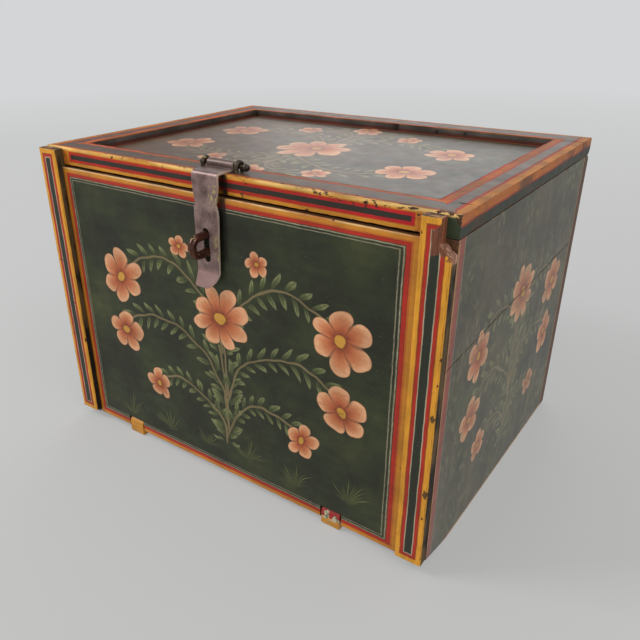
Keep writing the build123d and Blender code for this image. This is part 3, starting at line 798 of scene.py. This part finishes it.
def paintPanel(p):
    f = Finish("lidPanelPaint")
    wobble = f.noise(30, 3, shift=1.2) * 1.1 - 0.55
    near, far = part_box("lid_rail_front")[1].y / mm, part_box("lid_rail_back")[0].y / mm
    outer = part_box("lid_rail_right")[0].x / mm
    inward = f.least(outer - abs(f.x), f.y - near, far - f.y) + wobble
    middleX, middleY = p["middle"]
    field = plant(f, ground(f, 9.0), f.x - middleX, abs(f.y - (front + middleY)), sprays["panel"])
    # brown at random, and more towards the left: a painted change in sheen, weaker on the left
    browned = f.noise(24, 5, shift=16.0) * 0.8 - f.x * 0.0009 - 0.06
    field = f.layer(field, p["brown"], browned)
    painted = f.layer(f.stripes(inward, p["edge"]), field, f.step(inward, p["field"], 0.4))
    inside = bareWood(f, *p["inside"], "x")
    painted = f.layer(inside, painted, f.step(f.faceZ, 0.5, 0.2))
    return wearAndClose(f, painted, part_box("lid_panel"), 0.5, 0.48, along="x", shine=0.32, streaks=0.5)


knucklePaint = {
    "room": ((-147, front - 5, 0), (139, front + 30, 20)),  # a box a little larger than the two knuckles
    "right": [(0, paints["ochre"]), (12.5, rgb(168, 34, 26))],
    "flakes": 11.5,  # height about which it has flaked
    "undercoat": (rgb(206, 196, 164), rgb(96, 108, 76)),
}


def paintKnuckle(p):  # the left one ochre, the right one red above and flaked
    f = Finish("knucklePaint")
    box = [Vector(corner) * mm for corner in p["room"]]
    redTop = f.stripes(f.z + f.noise(6, 3) * 3, p["right"])
    flaked = f.step(f.noise(5, 5, shift=4.4) - abs(f.z - p["flakes"]) * 0.03, 0.44, 0.05)
    chipped = f.layer(*p["undercoat"], f.step(f.noise(3, 3, shift=2.7), 0.52, 0.06))
    painted = f.layer(paints["ochre"], f.layer(redTop, chipped, flaked), f.step(f.x, 0, 1))
    return wearAndClose(f, painted, box, 1.3, along="x")


def woodFinish(name, dark, light, along="x", rough=0.6):
    f = Finish(name)
    grain = f.noise(2.6, 5, longGrain[along], 2.0, 0.66)
    broad = f.noise(40, 3, longGrain[along], 5.0)
    stain = f.noise(60, 4, shift=9.0)
    colour = f.ramp(grain * 0.6 + broad * 0.4, (0.3, dark), (0.7, light))
    colour = f.layer(colour, paints["grime"], f.step(stain, 0.58, 0.3) * 0.3)
    pores = f.step(f.noise(1.3, 2, longGrain[along], 7.0), 0.62, 0.06)
    colour = f.layer(colour, paints["grime"], pores * 0.35)
    return f.close(colour, grain * 0.25 + (rough - 0.12), grain * 0.8 - pores * 0.5, 0.5, 0.5)


strapWear = {  # at heights on the hanging strap
    "waist": (293, 313),
    "beside": (246, 269),  # beside the staple
    "lip": (235, rgb(166, 130, 122)),  # lighter below
    "roll": (322, rgb(66, 52, 46)),  # darker above
    # pale on the strap's side faces and bevels: a painted highlight, with some wear
    "edges": rgb(220, 196, 176),
}


def wearStrap(f, colour, scuffed, s):  # scuffs at the waist and beside the staple, light lip, and edges lightened as a painted highlight
    waist = f.band(f.z, *s["waist"], 6) * f.step(f.x, 3.5, 5)
    beside = f.band(f.z, *s["beside"], 6) * f.step(f.x, 7, 3)
    lip, lipColour = s["lip"]
    roll, rollColour = s["roll"]
    colour = f.layer(colour, lipColour, (1 - f.step(f.z, lip, 3)) * 0.6)
    colour = f.layer(colour, rollColour, f.step(f.z, roll, 2) * 0.6)
    # side faces and bevels lighter: a painted highlight along the strap's edges
    colour = f.layer(colour, s["edges"], f.step(abs(f.faceX), 0.45, 0.3) * 0.8)
    return colour, scuffed * f.most(waist, beside)


def ironFinish(name, dark, light, rough, metal, strap=None):
    f = Finish(name)
    cloud = f.noise(11, 4, shift=2.0, roughness=0.55)
    fine = f.noise(0.9, 3, shift=6.0)
    colour = f.ramp(cloud * 0.7 + fine * 0.3, (0.34, dark), (0.62, light))
    pits = f.step(fine, 0.66, 0.08) * f.step(cloud, 0.5, 0.2)
    scuffed = f.step(f.noise(2.4, 4, (1, 1, 1.6), 11.0), 0.55, 0.07)
    if strap:
        colour, scuffed = wearStrap(f, colour, scuffed, strap)
    else:
        scuffed = scuffed * f.step(f.noise(9, 3, shift=5.2), 0.6, 0.06)
    colour = f.layer(colour, paints["brass"], scuffed * 0.8)
    colour = f.layer(colour, paints["rust"], pits * 0.5)
    rough = cloud * 0.3 + (rough - 0.15)
    return f.close(colour, rough, cloud * 0.8 + fine * 0.25, 0.4, 0.4, Metallic=scuffed * 0.2 + metal)


finishes = {
    "front": paintFront(frontPaint),
    "lid": paintLid(lidPaint),
    "panel": paintPanel(panelPaint),
    "stileLeft": paintStile("Left", stiles["Left"], stilePaint),
    "stileRight": paintStile("Right", stiles["Right"], stilePaint),
    "sideLeft": paintSide("Left", sidePaint),
    "sideRight": paintSide("Right", sidePaint),
    "knuckle": paintKnuckle(knucklePaint),
    "backWood": woodFinish("backWood", rgb(58, 36, 22), rgb(112, 72, 42), "x"),
    "baseWood": woodFinish("baseWood", rgb(70, 46, 28), rgb(126, 88, 56), "x", 0.7),
    "longWood": woodFinish("longWood", rgb(98, 64, 38), rgb(164, 118, 74), "x", 0.65),
    "crossWood": woodFinish("crossWood", rgb(98, 64, 38), rgb(164, 118, 74), "y", 0.65),
    "strapIron": ironFinish("strapIron", rgb(90, 68, 64), rgb(154, 126, 120), 0.4, 0.4, strapWear),
    "stapleIron": ironFinish("stapleIron", rgb(48, 26, 20), rgb(96, 58, 44), 0.22, 0.6),
    "eyeIron": ironFinish("eyeIron", rgb(34, 30, 26), rgb(84, 72, 60), 0.36, 0.6),
    "nailIron": ironFinish("nailIron", rgb(26, 22, 20), rgb(62, 54, 50), 0.6, 0.6),
}
print("finishes made:", len(finishes))


# Painted boards and rails: copies of the CAD shapes with worn, slightly uneven edges

boards = {
    "lidRailFront": dict(node="lid_rail_front", body="lid", finish="lid", along="x", cuts=90),
    "lidRailBack": dict(node="lid_rail_back", body="lid", finish="lid", along="x", cuts=60),
    "lidRailLeft": dict(node="lid_rail_left", body="lid", finish="lid", along="y", cuts=60),
    "lidRailRight": dict(node="lid_rail_right", body="lid", finish="lid", along="y", cuts=60),
    "stileLeft": dict(node="stile_left", finish="stileLeft", along="z", cuts=60),
    "stileRight": dict(node="stile_right", finish="stileRight", along="z", cuts=90),
    "dropFrontBoard": dict(
        node="drop_front_board", body="drop_front", finish="front", along="x", cuts=80,
    ),
    "lidPanel": dict(node="lid_panel", body="lid", finish="panel", along="x", cuts=0),
    "sidePlankLeftLower": dict(node="side_plank_left_lower", finish="sideLeft", along="y", cuts=60),
    "sidePlankLeftUpper": dict(node="side_plank_left_upper", finish="sideLeft", along="y", cuts=60),
    "sidePlankRightLower": dict(node="side_plank_right_lower", finish="sideRight", along="y", cuts=60),
    "sidePlankRightUpper": dict(node="side_plank_right_upper", finish="sideRight", along="y", cuts=60),
    "backBoardLower": dict(node="back_board_lower", finish="backWood", along="x", cuts=50),
    "backBoardUpper": dict(node="back_board_upper", finish="backWood", along="x", cuts=50),
    "frontKnuckleLeft": dict(node="front_knuckle_left", finish="knuckle", along="x", cuts=6),
    "frontKnuckleRight": dict(node="front_knuckle_right", finish="knuckle", along="x", cuts=6),
}
boardEdges = {
    "bevel": 0.7,
    "wear": 0.7,
    "level": 0.75,  # the shade of the texture that moves nothing; darker wears in, lighter stands out
    "reach": 1.05,  # worn this far in from an edge
    "ends": 3,  # and nowhere nearer than this to a board's ends
    "texture": (9, 3, 1.6),  # size, depth and contrast
}
plankJoint = {  # the joint of the right-hand planks climbs towards the back
    "height": 205,
    "reach": 3,
    "climb": 11,
}
wornCorner = {  # bottom front corner of the right wall: Y from its front, Z
    "start": (-5, 10.2),
    "end": (45, 0),
}


def wearEdges(piece, low, high, axis, e):
    edges = piece.vertex_groups.new(name="edges")
    for v in piece.data.vertices:
        gaps = [min(v.co[i] - low[i], high[i] - v.co[i]) for i in range(3)]
        end = gaps.pop(axis)
        if max(gaps) < e["reach"] * mm and end > e["ends"] * mm:
            edges.add([v.index], 1.0, "REPLACE")
    modify(piece, "DISPLACE", texture=wornTexture, vertex_group="edges", mid_level=e["level"],
           strength=e["wear"] * mm, texture_coords="LOCAL")


def slantJoint(piece, low, high, j):
    for v in piece.data.vertices:
        if abs(v.co.z - j["height"] * mm) < j["reach"] * mm:
            v.co.z += j["climb"] * mm * ((v.co.y - low.y) / (high.y - low.y) - 0.5)


def wearCorner(piece, c):
    (startY, startZ), (endY, endZ) = c["start"], c["end"]
    slope = Vector((0, endZ - startZ, startY - endY)).normalized()
    editAll(piece)
    bpy.ops.mesh.bisect(plane_co=(0, (front + endY) * mm, endZ * mm), plane_no=slope, use_fill=True,
                        clear_outer=True)
    bpy.ops.object.mode_set(mode="OBJECT")


def makeBoard(name, b, e):
    piece = fromNode(b["node"], name)
    low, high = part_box(b["node"])
    axis = "xyz".index(b["along"])
    bevelEdges(piece, e["bevel"])
    editAll(piece)
    cut(low, high, axis, b["cuts"])
    bpy.ops.object.mode_set(mode="OBJECT")
    if b["cuts"]:
        wearEdges(piece, low, high, axis, e)
    if "PlankRight" in name:
        slantJoint(piece, low, high, plankJoint)
    if name == "sidePlankRightLower":
        wearCorner(piece, wornCorner)
    smooth(piece)
    settle(piece, b["node"], b.get("body", "carcass"), b["finish"])
    print("board made:", name)


wornTexture = noiseTexture("wornEdge", *boardEdges["texture"])
for name, board in boards.items():
    makeBoard(name, board, boardEdges)


# Hasp and staple

ironwork = {  # middle is the shade of the texture that moves nothing: the lower, the thicker the piece
    "haspStrap": dict(
        node="hasp_strap", body="hasp", finish="strapIron", bevel=0.3, dent=0.3, middle=0.5,
    ),
    "stapleLoop": dict(
        node="staple", body="drop_front", finish="stapleIron", voxel=0.5, dent=0.35, middle=-1.9,
    ),
    "haspPin": dict(node="hasp_pin", body="lid", finish="eyeIron", voxel=0.5, dent=0.2, middle=0.5),
    "haspEyes": dict(node="hasp_eyes", body="lid", finish="eyeIron", voxel=0.5, dent=0.3, middle=0.2),
}
hammering = {
    "texture": (12, 2, 1.0),  # size, depth and contrast
    "grid": 3,  # distance between the cuts through the strap
}


def sliceFlat(piece, node, grid):  # cuts along all three axes, so that a flat piece can be dented
    low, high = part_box(node)
    editAll(piece)
    for axis in range(3):
        cut(low, high, axis, int((high[axis] - low[axis]) / (grid * mm)))
    bpy.ops.object.mode_set(mode="OBJECT")


def makeIronwork(name, w, h):
    piece = fromNode(w["node"], name)
    if "voxel" in w:
        modify(piece, "REMESH", mode="VOXEL", voxel_size=w["voxel"] * mm)
        modify(piece, "SMOOTH", iterations=2, factor=0.5)
    else:
        bevelEdges(piece, w["bevel"])
        sliceFlat(piece, w["node"], h["grid"])
    modify(piece, "DISPLACE", texture=hammered, strength=w["dent"] * mm, mid_level=w["middle"],
           texture_coords="LOCAL")
    smooth(piece)
    settle(piece, w["node"], w["body"], w["finish"])
    print("ironwork made:", name, len(piece.data.polygons))


hammered = noiseTexture("hammered", *hammering["texture"])
for name, work in ironwork.items():
    makeIronwork(name, work, hammering)


# Finishes of the CAD nodes that stay

def finishOf(nodeName):
    if "nails" in nodeName or "hinge" in nodeName or "pin" in nodeName:
        return finishes["nailIron"]
    if nodeName == "base_board":
        return finishes["baseWood"]
    if nodeName in ("shelf", "tray_front") or "long" in nodeName:
        return finishes["longWood"]
    return finishes["crossWood"]


for nodeName, node in nodes.items():
    if not node.hide_render:
        node.data.materials.clear()
        node.data.materials.append(finishOf(nodeName))
